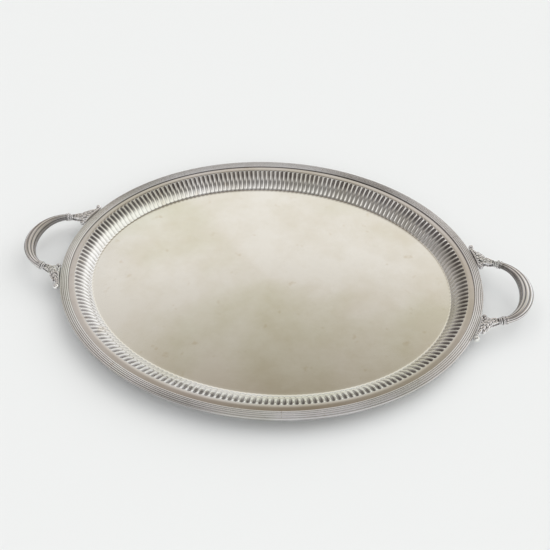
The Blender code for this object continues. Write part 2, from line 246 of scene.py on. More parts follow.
# the other leaves: start and bend on the stem as (share, sideways, height), tip at the foot as
# (along, outset, height), and (half width, thickness, lobes)
ARM_LEAVES = (
    ((0.40, 0.1, 0.9), (0.85, 0.25, 1.2),
     (FOOT_OUTER_ARM - 6.5 * MM, 3.2 * MM, 1.6 * MM), (3.6 * MM, 1.5 * MM, 5)),
    ((0.45, 0.5, 0.7), (0.80, 0.8, 0.8),
     (0.62 * FOOT_OUTER_ARM, 7.4 * MM, 1.0 * MM), (2.3 * MM, 1.2 * MM, 3)),
    ((0.55, 0.0, 0.9), (0.85, 0.0, 1.3),
     (0.3 * FOOT_OUTER_ARM, 1.2 * MM, 2.2 * MM), (2.5 * MM, 1.3 * MM, 3)),
    ((0.45, -0.4, 0.8), (0.85, -0.7, 1.1),
     (-FOOT_INNER_ARM + 3.0 * MM, 3.4 * MM, 1.4 * MM), (2.7 * MM, 1.3 * MM, 3)),
)

# ---- casting, its tarnish and painted shade -------------------------------------------------
TERMINAL_VOXEL = 0.30 * MM
SOFTEN_FACTOR = 0.5
SOFTEN_PASSES = 2
CAVITY_GAIN = 7.0 / MM
# painted shade over the whole casting, so that only its rounded tops stay bright
CAST_PAINTED_SHADE = 0.38
CAVITY_REACH = 6              # passes of averaging that find the hollows
CAVITY_SMOOTHING = 2
THROAT_SHARE = 0.24
# spots of painted shade at the stem's throat and on the inner bead
SHADE_SPOT_STRENGTH = 0.45
THROAT_SHADE_SPOT = (2.0 * MM, 5.5 * MM)      # full strength within the first, none past the second
BEAD_SHADE_SPOT = (2.6 * MM, 4.0 * MM)

# ---- camera ---------------------------------------------------------------------------------
CAMERA_TURN = radians(10.0)
CAMERA_ELEVATION = radians(46.66)
CAMERA_ROLL = radians(-0.63)
CAMERA_DISTANCE = 0.7873
CAMERA_TARGET = Vector((0.0098, -0.0125, 0.0208))
CAMERA_LENS = 42.05
CAMERA_SENSOR = 36.0
CAMERA_NEAR = 0.05

# ---- studio ---------------------------------------------------------------------------------
FLOOR_CORNERS = ((-40.0, -40.0, 0.0), (40.0, -40.0, 0.0), (40.0, 40.0, 0.0), (-40.0, 40.0, 0.0))
PAPER_COLOUR = (0.80, 0.82, 0.825)
PAPER_ROUGHNESS = 0.9
PAPER_SPECULAR = 0.2
# direction towards the light, its spread in degrees, and its strength
SUNS = (
    ("key", (0.72, 0.62, 1.0), 60.0, 1.00),
    ("fill", (0.20, -0.30, 1.0), 120.0, 0.98),
)
# each side of the backdrop: sine of the elevation, and colour
BACKDROP_BACK = (
    (0.00, (0.80, 0.80, 0.78)),
    (0.18, (0.84, 0.84, 0.83)),
    (0.30, (0.86, 0.86, 0.86)),
    (0.40, (0.60, 0.59, 0.59)),
    (0.47, (0.62, 0.61, 0.60)),
    (0.55, (0.92, 0.90, 0.83)),
    (0.70, (0.82, 0.79, 0.73)),
    (0.77, (0.59, 0.555, 0.49)),
    (0.86, (0.32, 0.27, 0.205)),
    (0.93, (0.16, 0.14, 0.12)),
    (0.985, (0.45, 0.44, 0.43)),
    (1.00, (0.70, 0.70, 0.70)),
)
BACKDROP_LEFT = (
    (0.00, (0.62, 0.61, 0.61)),
    (0.12, (0.46, 0.44, 0.44)),
    (0.35, (0.34, 0.32, 0.32)),
    (0.50, (0.34, 0.32, 0.31)),
    (0.62, (0.50, 0.48, 0.46)),
    (0.72, (0.60, 0.57, 0.52)),
    (0.76, (0.60, 0.57, 0.54)),
    (0.80, (1.35, 1.33, 1.35)),
    (0.90, (1.35, 1.33, 1.35)),
    (0.94, (0.30, 0.28, 0.28)),
    (1.00, (0.70, 0.70, 0.70)),
)
BACKDROP_RIGHT = (
    (0.00, (0.95, 0.95, 0.96)),
    (0.30, (1.08, 1.08, 1.08)),
    (0.45, (1.00, 0.99, 0.98)),
    (0.62, (0.84, 0.82, 0.79)),
    (0.75, (0.66, 0.62, 0.57)),
    (0.88, (0.16, 0.14, 0.13)),
    (0.95, (0.16, 0.14, 0.13)),
    (1.00, (0.70, 0.70, 0.70)),
)
BACKDROP_FRONT = (
    (0.00, (0.82, 0.83, 0.84)),
    (0.30, (0.86, 0.86, 0.86)),
    (0.44, (1.05, 1.05, 1.05)),
    (0.50, (1.05, 1.05, 1.05)),
    (0.60, (0.75, 0.74, 0.73)),
    (0.74, (0.22, 0.21, 0.21)),
    (0.86, (0.22, 0.21, 0.21)),
    (0.94, (0.95, 0.95, 0.95)),
    (1.00, (0.80, 0.80, 0.80)),
)
BACKDROP_FRONT_LEFT = (
    (0.00, (0.62, 0.62, 0.62)),
    (0.20, (0.42, 0.41, 0.40)),
    (0.40, (0.26, 0.25, 0.24)),
    (0.70, (0.22, 0.21, 0.20)),
    (0.90, (0.40, 0.39, 0.38)),
    (1.00, (0.80, 0.80, 0.80)),
)
# how far round, along one axis of the direction, one side of the backdrop turns into the next
TURN_TO_LEFT = (-0.28, -0.56)
TURN_TO_RIGHT = (0.30, 0.60)
TURN_TO_FRONT = (0.20, -0.35)
TURN_TO_FRONT_LEFT = (-0.16, -0.46)

# ---- silver ---------------------------------------------------------------------------------
NOISE_ROUGHNESS = 0.6
BLOTCH_RANGE = (0.42, 0.66)
GREEN_SCALE = 0.55            # against the scale of the blotches
GREEN_RANGE = (0.48, 0.62, 0.0, 0.8)
GREEN_TINT = (0.955, 0.985, 0.94)
SPOT_SCALE = 7.0
SPOT_RANGE = (0.66, 0.74, 0.0, 0.55)
SPOT_TINT = (0.86, 0.80, 0.72)
FLANGE_COLOUR = (0.93, 0.90, 0.915)
UNEVEN_SCALE = 26.0
UNEVEN_SHARE = 0.8            # tarnish and painted shade in the recesses where they are thinnest
MID_RANGE = (0.3, 0.7)
WEAR_SCALE = 38.0
WEAR_ROUGHNESS = (0.75, 1.35)
# noise scale, stretch, turn in degrees, and the range that makes a line
SCRATCHES = (
    (14.0, (1.0, 46.0, 1.0), 24.0, (0.66, 0.72)),
    (12.0, (52.0, 1.0, 1.0), -13.0, (0.67, 0.73)),
)
SCRATCH_ROUGHNESS = 0.10
BUMP_STRENGTH = 0.12
BUMP_DISTANCE = 0.4 * MM


# ---- mesh helpers ---------------------------------------------------------------------------
def new_object(name, data):
    """An object with the given mesh, camera or light, linked to the scene."""
    obj = bpy.data.objects.new(name, data)
    bpy.context.scene.collection.objects.link(obj)
    return obj


def add_attribute(mesh, name, values):
    """Stores one number for each vertex."""
    attribute = mesh.attributes.new(name, "FLOAT", "POINT")
    attribute.data.foreach_set("value", np.asarray(values, np.float32))


def mesh_from(verts, faces, groove=None):
    """A smooth-shaded mesh, with its tarnish and painted shade by vertex where that is given."""
    mesh = bpy.data.meshes.new("shape")
    mesh.from_pydata(np.asarray(verts).tolist(), [], faces)
    if groove is not None:
        add_attribute(mesh, "groove", groove)
    mesh.update()
    mesh.shade_smooth()
    return mesh


def grid_faces(rows, cols):
    """Quads over rows of vertices that each close into a ring."""
    faces = []
    for i in range(rows - 1):
        here = i * cols
        there = here + cols
        for j in range(cols):
            k = (j + 1) % cols
            faces.append((here + j, here + k, there + k, there + j))
    return faces


def section_mesh(rings):
    """Vertices and faces of a skin through rings of equal length, closed at both ends."""
    count = len(rings[0])
    verts = [point for ring in rings for point in ring]
    faces = grid_faces(len(rings), count)
    faces.append(tuple(range(count - 1, -1, -1)))
    faces.append(tuple(range(len(verts) - count, len(verts))))
    return verts, faces


def outward(mesh):
    """The same mesh with its normals facing out."""
    bm = bmesh.new()
    bm.from_mesh(mesh)
    bmesh.ops.recalc_face_normals(bm, faces=bm.faces)
    bm.to_mesh(mesh)
    bm.free()
    return mesh


def mirrored(mesh, sign_x, sign_y):
    """A copy of the mesh for another corner of the tray."""
    copy = mesh.copy()
    copy.transform(Matrix.Diagonal((sign_x, sign_y, 1.0, 1.0)))
    if sign_x * sign_y < 0:
        copy.flip_normals()
    return copy


def smooth_step(low, high, value):
    """0 before low, 1 past high and a smooth rise between; high may be below low."""
    part = np.clip((value - low) / (high - low), 0.0, 1.0)
    return part * part * (3.0 - 2.0 * part)


def half_round(value):
    """Height of a half circle of radius 1, and 0 outside it."""
    return max(1.0 - value ** 2, 0.0) ** 0.5


def rim_points(angle, inset, z):
    """Points inside the rim's edge by inset, measured square to it."""
    angle = np.asarray(angle, float)
    nx = np.cos(angle) / RIM_X
    ny = np.sin(angle) / RIM_Y
    size = np.hypot(nx, ny)
    x = RIM_X * np.cos(angle) - inset * nx / size
    y = RIM_Y * np.sin(angle) - inset * ny / size
    return np.stack([x, y, np.zeros_like(x) + z], -1)


def even_angles(half_x, half_y, count):
    """Ellipse angles that divide the oval's length evenly."""
    fine = np.linspace(0.0, 2.0 * pi, OVAL_STEPS)
    step = np.hypot(half_x * np.diff(np.cos(fine)), half_y * np.diff(np.sin(fine)))
    length = np.r_[0.0, np.cumsum(step)]
    return np.interp(np.arange(count) / count * length[-1], length, fine)


# ---- tray body ------------------------------------------------------------------------------
def wall_drop(share):
    """Fall of the wall below the flange, 0 to 1, with both of its corners rounded."""
    def area(s):
        inside = np.clip(s, 0.0, 1.0)
        bend = WALL_START * inside ** 2 / 2.0 + (1.0 - WALL_START) * inside ** 3 / 3.0
        return bend + np.maximum(s - 1.0, 0.0)
    return (area(share + FILLET) - area(share - FILLET)) / (2.0 * FILLET)


def flute_form(share, across, angle):
    """Depth of the arch-topped groove, height of the lobe beside it, and tarnish with painted shade,
    each 0 to 1.
    """
    rise = np.clip((FLUTE_SPRING - share) / (FLUTE_SPRING - FLUTE_TOP), 0.0, 1.0)
    taper = smooth_step(*FLUTE_TAPER, share)
    half = FLUTE_WIDTH + (FLUTE_FOOT_WIDTH - FLUTE_WIDTH) * taper
    ending = 1.0 - smooth_step(*LOBE_FOOT, share)
    arch = np.maximum(half * np.sqrt(np.maximum(1.0 - rise ** 2, 0.0)), FLUTE_NARROWEST)
    depth = (arch / FLUTE_WIDTH) ** FLUTE_SHALLOWING
    groove = np.maximum(1.0 - (across / arch) ** 2, 0.0) * depth * ending
    beside = np.clip((1.0 - np.abs(across)) / (1.0 - half), 0.0, 1.0)
    lobe = np.sqrt(np.maximum(1.0 - beside ** 2, 0.0)) * smooth_step(*LOBE_RISE, share)
    round_foot = LOBE_FOOT[1] - LOBE_FOOT_CURVE * (1.0 - np.abs(across)) ** 2
    lobe = lobe * np.sqrt(np.clip((round_foot - share) / LOBE_FOOT_FADE, 0.0, 1.0))
    scoop_tarnish_and_shade = np.clip(SCOOP_FILL - (across / (arch + SCOOP_EDGE)) ** SCOOP_POWER, 0.0, 1.0)
    scoop_tarnish_and_shade = scoop_tarnish_and_shade * smooth_step(0.0, SCOOP_EDGE, arch)
    scoop_tarnish_and_shade = scoop_tarnish_and_shade * ending * (1.0 - SCOOP_THINNING * taper)
    return groove, lobe, wall_tarnish_and_shade(share, across, angle, scoop_tarnish_and_shade)


def wall_tarnish_and_shade(share, across, angle, scoop_tarnish_and_shade):
    """Tarnish and painted shade in the scoops, tarnish at the flange's inner edge, a painted dark
    reflection in the crease at the back wall's foot, and less painted shade towards the front left.
    """
    stain_and_shade = np.maximum(scoop_tarnish_and_shade, FLANGE_TARNISH * (1.0 - smooth_step(*FLANGE_FADE, share)))
    painted_crease_reflection = smooth_step(*CREASE_START, share) * (1.0 - smooth_step(*CREASE_END, share))
    painted_crease_reflection = CREASE_PAINTED_REFLECTION * painted_crease_reflection * smooth_step(*CREASE_BACK, np.sin(angle))
    ripple = 1.0 - CREASE_RIPPLE + CREASE_RIPPLE * np.cos(pi * across)
    stain_and_shade = np.maximum(stain_and_shade, painted_crease_reflection * ripple)
    lighter_side = smooth_step(*LIGHTER_SIDE_SPREAD, np.cos(angle - LIGHTER_SIDE_ANGLE))
    return stain_and_shade * (1.0 - LIGHTER_SIDE_SHARE * lighter_side)


def wall_row(share, across, angle, wall_x, wall_y):
    """One row of points round the wall with its flutes pressed in, and their tarnish and painted shade.
    """
    wall_height = FLANGE_Z - SHEET
    x = (wall_x - WALL_END * share) * np.cos(angle)
    y = (wall_y - WALL_SIDE * share) * np.sin(angle)
    z = FLANGE_Z - wall_height * wall_drop(share)
    fall = wall_drop(share + SLOPE_STEP) - wall_drop(share - SLOPE_STEP)
    slope = wall_height * fall / (2.0 * SLOPE_STEP)
    groove, lobe, stain_and_shade = flute_form(share, across, angle)
    width = np.hypot(WALL_END * np.cos(angle), WALL_SIDE * np.sin(angle))
    lean = slope / np.hypot(slope, width)
    out = rim_points(angle, -1.0, 0.0) - rim_points(angle, 0.0, 0.0)
    push = FLUTE_DEPTH * groove - LOBE_BULGE * lobe
    point = np.stack([x, y, np.zeros_like(x) + z], -1)
    point += out * (push * lean)[:, None]
    point[:, 2] -= push * np.sqrt(1.0 - lean ** 2)
    return point, stain_and_shade


def build_body():
    """The pressed sheet with its flutes, as an open top surface thickened downwards."""
    wall_x = RIM_X - FLANGE_END
    wall_y = RIM_Y - FLANGE_SIDE
    floor_x = wall_x - WALL_END
    floor_y = wall_y - WALL_SIDE
    spaced_x = wall_x - FLUTE_SPACING * WALL_END
    spaced_y = wall_y - FLUTE_SPACING * WALL_SIDE
    starts = even_angles(spaced_x, spaced_y, FLUTES)
    ends = np.r_[starts[1:], 2.0 * pi]
    across = np.array(FLUTE_COLUMNS)
    angle = (starts[:, None] + (ends - starts)[:, None] * (across + 1.0) / 2.0).ravel()
    across = np.tile(across, FLUTES)

    rows = []
    grooves = []
    for inset in (EDGE_INSET, BORDER_WIDTH - UNDER_BORDER):
        rows.append(rim_points(angle, inset, FLANGE_Z))
        grooves.append(np.full_like(angle, FLANGE_TARNISH))
    for share in WALL_SHARES:
        point, stain_and_shade = wall_row(share, across, angle, wall_x, wall_y)
        rows.append(point)
        grooves.append(stain_and_shade)
    for scale in FLOOR_RINGS:
        x = floor_x * scale * np.cos(angle)
        y = floor_y * scale * np.sin(angle)
        rows.append(np.stack([x, y, np.full_like(angle, SHEET)], -1))
        grooves.append(np.zeros_like(angle))
    cols = len(angle)
    verts = np.concatenate(rows + [np.array([[0.0, 0.0, SHEET]])])
    faces = grid_faces(len(rows), cols)
    last = (len(rows) - 1) * cols
    faces += [(last + j, last + (j + 1) % cols, len(verts) - 1) for j in range(cols)]
    mesh = mesh_from(verts, faces, np.concatenate(grooves + [np.zeros(1)]))
    tint = [*FLANGE_TINT] + [0.0] * (len(rows) + 1 - len(FLANGE_TINT))
    add_attribute(mesh, "flange", np.repeat(tint, [cols] * len(rows) + [1]))
    body = new_object("fluted_body", mesh)
    shell = body.modifiers.new("sheet", "SOLIDIFY")
    shell.thickness = SHEET
    shell.offset = -1.0
    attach(body, "root")
    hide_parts("tray_body")
    return body


# ---- border ---------------------------------------------------------------------------------
def border_section():
    """Inset from the edge, height, and tarnish with painted shade round the border wire's section."""
    base = FLANGE_Z + SOLDER
    points = [
        (LIP_CORNER[0], LIP_FOOT, LIP_PAINTED_SHADE[0]),
        (0.0, LIP_FOOT + LIP_CORNER[1], LIP_PAINTED_SHADE[1]),
        (0.0, FLANGE_Z, LIP_PAINTED_SHADE[2]),
    ]
    crest_edge = FLANGE_Z + BORDER_STEP
    for reed in range(REEDS):
        for i in range(REED_POINTS):
            if i == 0 and reed:
                continue
            part = i / (REED_POINTS - 1)
            share = (reed + part) / REEDS
            arch = sin(pi * part) ** REED_ROUNDNESS
            crown = BORDER_CROWN * (1.0 - (2.0 * share - 1.0) ** 2)
            height = crest_edge + crown - REED_DEPTH * (1.0 - arch)
            # tarnish in the valleys between the reeds, and painted shade on the outer reeds
            tarnish = max((1.0 - arch) ** REED_TARNISH_POWER, OUTER_PAINTED_SHADE * (1.0 - share))
            points.append((BORDER_WIDTH * share, height, tarnish))
    points.append((BORDER_WIDTH + SOLDER_FILLET[0], FLANGE_Z + SOLDER_FILLET[1], SOLDER_PAINTED_SHADE))
    points.append((BORDER_WIDTH, base, INNER_STEP_PAINTED_SHADE))
    points.append((LIP_WALL, base, HIDDEN_PAINTED_SHADE))
    points.append((LIP_WALL, LIP_FOOT, HIDDEN_PAINTED_SHADE))
    return points


def build_border():
    """The three soldered lengths of reeded wire."""
    inset, height, groove = np.array(border_section()).T
    size = len(groove)
    joints = [radians(j) for j in BORDER_JOINTS]
    joints.append(joints[0] + 2.0 * pi)
    pieces = []
    for number in range(len(BORDER_JOINTS)):
        start = joints[number] + 0.5 * JOINT_GAP / RIM_X
        end = joints[number + 1] - 0.5 * JOINT_GAP / RIM_X
        count = int((end - start) * RIM_X / BORDER_STATION)
        angles = np.linspace(start, end, count)
        verts = rim_points(np.repeat(angles, size), np.tile(inset, count), np.tile(height, count))
        faces = grid_faces(count, size)
        faces.append(tuple(range(size)))
        faces.append(tuple(range(len(verts) - 1, len(verts) - size - 1, -1)))
        mesh = mesh_from(verts, faces, np.tile(groove, count))
        mesh.flip_normals()
        piece = new_object(f"reeded_border_{number + 1}", mesh)
        mesh.set_sharp_from_angle(angle=BORDER_SHARP)
        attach(piece, "root")
        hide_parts(f"border_length_{number + 1}")
        pieces.append(piece)
    return pieces


# ---- handle loops and grips -----------------------------------------------------------------
def loop_point(angle):
    """A point on the middle line of the right handle."""
    rise = (cos(angle) - cos(LOOP_SWEEP)) / (1.0 - cos(LOOP_SWEEP))
    x = LOOP_CENTRE + LOOP_REACH * cos(angle)
    return Vector((x, LOOP_HALF_SPAN * sin(angle), COLLAR_Z + (APEX_Z - COLLAR_Z) * rise))


def loop_tangent(angle):
    """Direction of that line, towards larger angles."""
    return (loop_point(angle + LOOP_STEP) - loop_point(angle - LOOP_STEP)).normalized()


def frame_at(origin, direction):
    """Axes of a section: X to the side, Y nearest to up, Z along direction."""
    side = direction.cross(UPWARDS).normalized()
    up = side.cross(direction).normalized()
    matrix = Matrix((side, up, direction)).transposed().to_4x4()
    matrix.translation = origin
    return matrix


def loop_rate(angle):
    """Length along the loop, seen from above, per radian of its angle."""
    return Vector((LOOP_REACH * sin(angle), LOOP_HALF_SPAN * cos(angle))).length


def build_grip_mesh():
    """A swelling bar of parallel reeds that close up towards the collars."""
    last = LOOP_SWEEP - (0.5 * COLLAR_LENGTH + SOLDER) / loop_rate(LOOP_SWEEP)
    turn = np.arange(GRIP_POINTS) * 2.0 * pi / GRIP_POINTS
    wave = np.abs(np.sin(turn * GRIP_REEDS / 2.0)) ** GRIP_ROUNDNESS
    rings = []
    grooves = []
    for i in range(GRIP_STATIONS + 1):
        angle = last * sin(0.5 * pi * (2.0 * i / GRIP_STATIONS - 1.0))
        swell = max(cos(angle / last * 0.5 * pi), 0.0) ** GRIP_SWELLING
        half_width = GRIP_END_RADIUS + (GRIP_HALF_WIDTH - GRIP_END_RADIUS) * swell
        half_thick = GRIP_END_RADIUS + (GRIP_HALF_THICKNESS - GRIP_END_RADIUS) * swell
        depth = GRIP_REED_DEPTH * (GRIP_DEPTH_SHARES[0] + GRIP_DEPTH_SHARES[1] * swell)
        from_end = (last - abs(angle)) * loop_rate(last)
        end_ring = half_round(2.0 * from_end / GRIP_RING_LENGTH - 1.0)
        half_width += GRIP_RING_HEIGHT * end_ring
        half_thick += GRIP_RING_HEIGHT * end_ring
        depth *= 1.0 - end_ring
        axes = frame_at(loop_point(angle), loop_tangent(angle))
        ring = []
        for t, w in zip(turn, wave):
            cut = depth * (1.0 - w)
            x = (half_width - cut) * cos(t)
            y = (half_thick - cut) * sin(t)
            ring.append(axes @ Vector((x, y, 0.0)))
            # painted shade on the grip's inner and lower sides, tarnish in the reeds' valleys
            inner = smooth_step(*GRIP_INNER, -cos(t))
            under = smooth_step(*GRIP_UNDER, sin(t))
            valley = (1.0 - w) ** GRIP_VALLEY_POWER
            grooves.append(max(valley, GRIP_SHADE * max(inner, under)))
        rings.append(ring)
    mesh = mesh_from(*section_mesh(rings), grooves)
    mesh.set_sharp_from_angle(angle=GRIP_SHARP)
    return mesh


# ---- collars --------------------------------------------------------------------------------
def build_collar_mesh():
    """A row of beads between two thin rings."""
    axes = frame_at(loop_point(LOOP_SWEEP), loop_tangent(LOOP_SWEEP))
    rings = []
    grooves = []
    for i in range(COLLAR_STATIONS):
        place = 2.0 * i / (COLLAR_STATIONS - 1) - 1.0
        band = half_round(place / COLLAR_BAND)
        thin_ring = half_round((abs(place) - COLLAR_RING_PLACE) / COLLAR_RING_HALF)
        ring = []
        for j in range(COLLAR_TURNS):
            turn = 2.0 * pi * j / COLLAR_TURNS
            bead = abs(cos(0.5 * COLLAR_BEADS * turn)) ** COLLAR_BEAD_ROUNDNESS
            height = max(band * bead, COLLAR_RING_HEIGHT * thin_ring)
            radius = COLLAR_RADIUS - COLLAR_CUT + COLLAR_CUT * height
            z = place * 0.5 * COLLAR_LENGTH
            ring.append(axes @ Vector((radius * cos(turn), radius * sin(turn), z)))
            grooves.append(COLLAR_TARNISH * (1.0 - height) ** 2)
        rings.append(ring)
    mesh = mesh_from(*section_mesh(rings), grooves)
    mesh.set_sharp_from_angle(angle=COLLAR_SHARP)
    return outward(mesh)


# ---- cast leaf terminals --------------------------------------------------------------------
def rim_angle_after(angle, distance):
    """Ellipse angle reached after a distance along the rim."""
    for _ in range(FOOT_STEPS):
        rate = Vector((RIM_X * sin(angle), RIM_Y * cos(angle))).length
        angle += distance / FOOT_STEPS / rate
    return angle


def foot_point(distance, outset, z):
    """A point beside the rim: distance along it from the foot's middle, and out from its edge."""
    x, y, _ = rim_points(rim_angle_after(FOOT_ANGLE, distance), -outset, 0.0)
    return Vector((x, y, z))


def leaf(start, bend, tip, up, half_width, thick, lobes):
    """A lobed leaf along a bent midrib, with a groove down its middle and ribs to its lobes."""
    rings = []
    rows = LEAF_ROWS_PER_LOBE * lobes + LEAF_END_ROWS
    for i in range(rows):
        u = i / (rows - 1)
        here = start * (1 - u) ** 2 + bend * 2 * u * (1 - u) + tip * u ** 2
        along = ((bend - start) * (1 - u) + (tip - bend) * u).normalized()
        side = up.cross(along).normalized()
        rise = along.cross(side).normalized()
        lobe = abs(sin(pi * lobes * u ** LEAF_CROWDING))
        outline = sin(pi * min(LEAF_BASE + (1.0 - LEAF_BASE) * u, 1.0) ** LEAF_WIDEST)
        notched = outline ** LEAF_BLUNTNESS * (LEAF_NOTCH[0] + LEAF_NOTCH[1] * lobe)
        width = half_width * (notched + LEAF_TIP)
        ring = []
        for k in range(LEAF_POINTS):
            v = 2.0 * k / (LEAF_POINTS - 1) - 1.0
            swell = LEAF_SWELL[0] + LEAF_SWELL[1] * lobe
            body = thick * (1.0 - abs(v) ** LEAF_SECTION) * swell
            vein = LEAF_VEIN_DEPTH * thick * max(1.0 - abs(v) / LEAF_VEIN_HALF, 0.0)
            wave = cos(2.0 * pi * lobes * (u - LEAF_RIB_SLANT * abs(v)))
            rib = LEAF_RIB * thick * wave * abs(v)
            sweep = LEAF_LOBE_SWEEP * width * abs(v) * lobe
            ring.append(here + side * width * v + rise * (body - vein + rib) + along * sweep)
        for k in range(LEAF_BACK_POINTS):
            v = 1.0 - 2.0 * (k + 1) / (LEAF_BACK_POINTS + 1)
            across = side * width * v * LEAF_BACK_WIDTH
            ring.append(here + across - rise * LEAF_BACK_DEPTH * thick)
        rings.append(ring)
    return outward(mesh_from(*section_mesh(rings)))


def ball(centre, radius):
    """A small sphere."""
    bm = bmesh.new()
    bmesh.ops.create_icosphere(bm, subdivisions=BALL_SUBDIVISIONS, radius=radius)
    for vert in bm.verts:
        vert.co += centre
    mesh = bpy.data.meshes.new("ball")
    bm.to_mesh(mesh)
    bm.free()
    return mesh


def stem_station(share):
    """Middle, sideways and upward axes and half sizes of the stem at a share of its length."""
    along = loop_tangent(LOOP_SWEEP)
    start = loop_point(LOOP_SWEEP) + along * (0.5 * COLLAR_LENGTH + SOLDER)
    landing = foot_point(0.0, 0.5 * FOOT_DEPTH, FOOT_Z)
    rim_along = (foot_point(MM, 0.0, 0.0) - foot_point(-MM, 0.0, 0.0)).normalized()
    axes = frame_at(start, along)
    across = axes.col[0].to_3d()
    across *= 1.0 if across.dot(rim_along) > 0.0 else -1.0
    side = across.lerp(rim_along, share).normalized()
    up = axes.col[1].to_3d().lerp(UPWARDS, share).normalized()
    flare = share ** STEM_FLARE
    outer = STEM_RADIUS + (FOOT_OUTER_ARM - BEAD_RADIUS - STEM_RADIUS) * flare
    inner = STEM_RADIUS + (FOOT_INNER_ARM - BEAD_RADIUS - STEM_RADIUS) * flare
    thick = STEM_RADIUS + (STEM_FOOT_THICKNESS * FOOT_HALF_HEIGHT - STEM_RADIUS) * share
    return start.lerp(landing, share), side, up, outer, inner, thick


def stem_core():
    """The plain core that the leaves wrap."""
    rings = []
    for i in range(STEM_STATIONS):
        middle, side, up, outer, inner, thick = stem_station(i / (STEM_STATIONS - 1))
        middle = middle + side * 0.5 * (outer - inner)
        wide = 0.5 * (outer + inner) * STEM_CORE
        ring = []
        for j in range(STEM_POINTS):
            turn = 2.0 * pi * j / STEM_POINTS
            ring.append(middle + side * wide * cos(turn) + up * thick * STEM_CORE * sin(turn))
        rings.append(ring)
    return outward(mesh_from(*section_mesh(rings)))


def stem_ring(share, half_length):
    """A moulded ring round the stem."""
    middle, side, up, _, _, _ = stem_station(share)
    along = side.cross(up).normalized()
    rings = []
    for i in range(STEM_RING_STATIONS):
        turn = pi * i / (STEM_RING_STATIONS - 1)
        radius = STEM_RADIUS + STEM_RING_SWELL * half_length * sin(turn)
        centre = middle - along * half_length * cos(turn)
        ring = []
        for j in range(STEM_RING_POINTS):
            around = 2.0 * pi * j / STEM_RING_POINTS
            ring.append(centre + (side * cos(around) + up * sin(around)) * radius)
        rings.append(ring)
    return outward(mesh_from(*section_mesh(rings)))


def on_stem(share, sideways, height):
    """A point on the stem: sideways against its arm's width, height against its thickness."""
    middle, side, up, outer, inner, thick = stem_station(share)
    return middle + side * sideways * (outer if sideways > 0.0 else inner) + up * thick * height


def foot_bar():
    """The soldered foot: a row of overlapping lobes along the rim."""
    rings = []
    length = FOOT_INNER_ARM + FOOT_OUTER_ARM - 2.0 * FOOT_END_GAP
    for i in range(FOOT_ROWS):
        share = i / (FOOT_ROWS - 1)
        distance = FOOT_END_GAP - FOOT_INNER_ARM + length * share
        lobe = abs(sin(pi * FOOT_LOBES * share)) ** FOOT_LOBE_ROUNDNESS
        taper = FOOT_TAPER[0] + FOOT_TAPER[1] * sin(pi * share)
        half = FOOT_HALF_HEIGHT * taper * (FOOT_LOBE_HEIGHT[0] + FOOT_LOBE_HEIGHT[1] * lobe)
        ring = [foot_point(distance, SOLDER, FOOT_Z + z) for z in (-half, half)]
        for k in range(FOOT_POINTS):
            turn = radians(FOOT_TURN - 2.0 * FOOT_TURN * k / (FOOT_POINTS - 1))
            bulge = FOOT_BULGE[0] + (FOOT_BULGE[1] + FOOT_BULGE[2] * lobe) * cos(turn)
            out = FOOT_REACH * FOOT_DEPTH * taper * bulge
            ring.append(foot_point(distance, out, FOOT_Z + half * sin(turn)))
        rings.append(ring)
    return outward(mesh_from(*section_mesh(rings)))


def cavity_attribute(mesh, shade_spots):
    """Stores tarnish where the surface is hollow, painted shade over all of it, and more painted shade
    in each spot.
    """
    count = len(mesh.vertices)
    place = np.empty(count * 3)
    mesh.vertices.foreach_get("co", place)
    place = place.reshape(-1, 3)
    normal = np.empty(count * 3)
    mesh.vertex_normals.foreach_get("vector", normal)
    normal = normal.reshape(-1, 3)
    edges = np.empty(len(mesh.edges) * 2, np.int64)
    mesh.edges.foreach_get("vertices", edges)
    a, b = edges.reshape(-1, 2).T
    valence = np.bincount(a, minlength=count) + np.bincount(b, minlength=count)
    valence = np.maximum(valence, 1)

    def spread(values):
        total = np.zeros_like(values)
        np.add.at(total, a, values[b])
        np.add.at(total, b, values[a])
        return total / valence.reshape(-1, *([1] * (values.ndim - 1)))

    soft = place
    for _ in range(CAVITY_REACH):
        soft = spread(soft)
    hollow = ((soft - place) * normal).sum(1)
    for _ in range(CAVITY_SMOOTHING):
        hollow = spread(hollow)
    value = CAST_PAINTED_SHADE + hollow * CAVITY_GAIN
    for centre, (near, far) in shade_spots:
        away = np.linalg.norm(place - np.array(centre), axis=1)
        value += SHADE_SPOT_STRENGTH * smooth_step(-far, -near, -away)
    add_attribute(mesh, "groove", np.clip(value, 0.0, 1.0))


def leaves_and_berries(height):
    """Leaves and berries of the upper face where height is 1, and of the lower where it is -1."""
    face = stem_station(0.5)[2] * height
    parts = []
    for sideways in CALYX_SIDES:
        spine = [on_stem(share, sideways * spread, lift * height) for share, spread, lift in CALYX_SPINE]
        parts.append(leaf(*spine, face, *CALYX_LEAF))
    for start, bend, tip, form in ARM_LEAVES:
        base = on_stem(start[0], start[1], start[2] * height)
        knee = on_stem(bend[0], bend[1], bend[2] * height)
        end = foot_point(tip[0], tip[1], FOOT_Z + tip[2] * height)
        parts.append(leaf(base, knee, end, face, *form))
    for distance, radius in BERRIES:
        centre = foot_point(distance * MM, BERRY_OUTSET, FOOT_Z + BERRY_HEIGHT * height)
        parts.append(ball(centre, radius * MM))
    return parts


def foot_beads():
    """Beads at both ends of the foot and along its outer arm."""
    outer = foot_point(FOOT_OUTER_ARM, OUTER_BEAD_RADIUS + SOLDER, FOOT_Z)
    parts = [ball(outer, OUTER_BEAD_RADIUS)]
    for back, radius in OUTER_ARM_BEADS:
        outset = (radius + OUTER_ARM_BEAD_GAP) * MM
        parts.append(ball(foot_point(FOOT_OUTER_ARM - back * MM, outset, FOOT_Z), radius * MM))
    inner = foot_point(-FOOT_INNER_ARM, BEAD_RADIUS + SOLDER, FOOT_Z)
    parts.append(ball(inner, BEAD_RADIUS))
    return parts


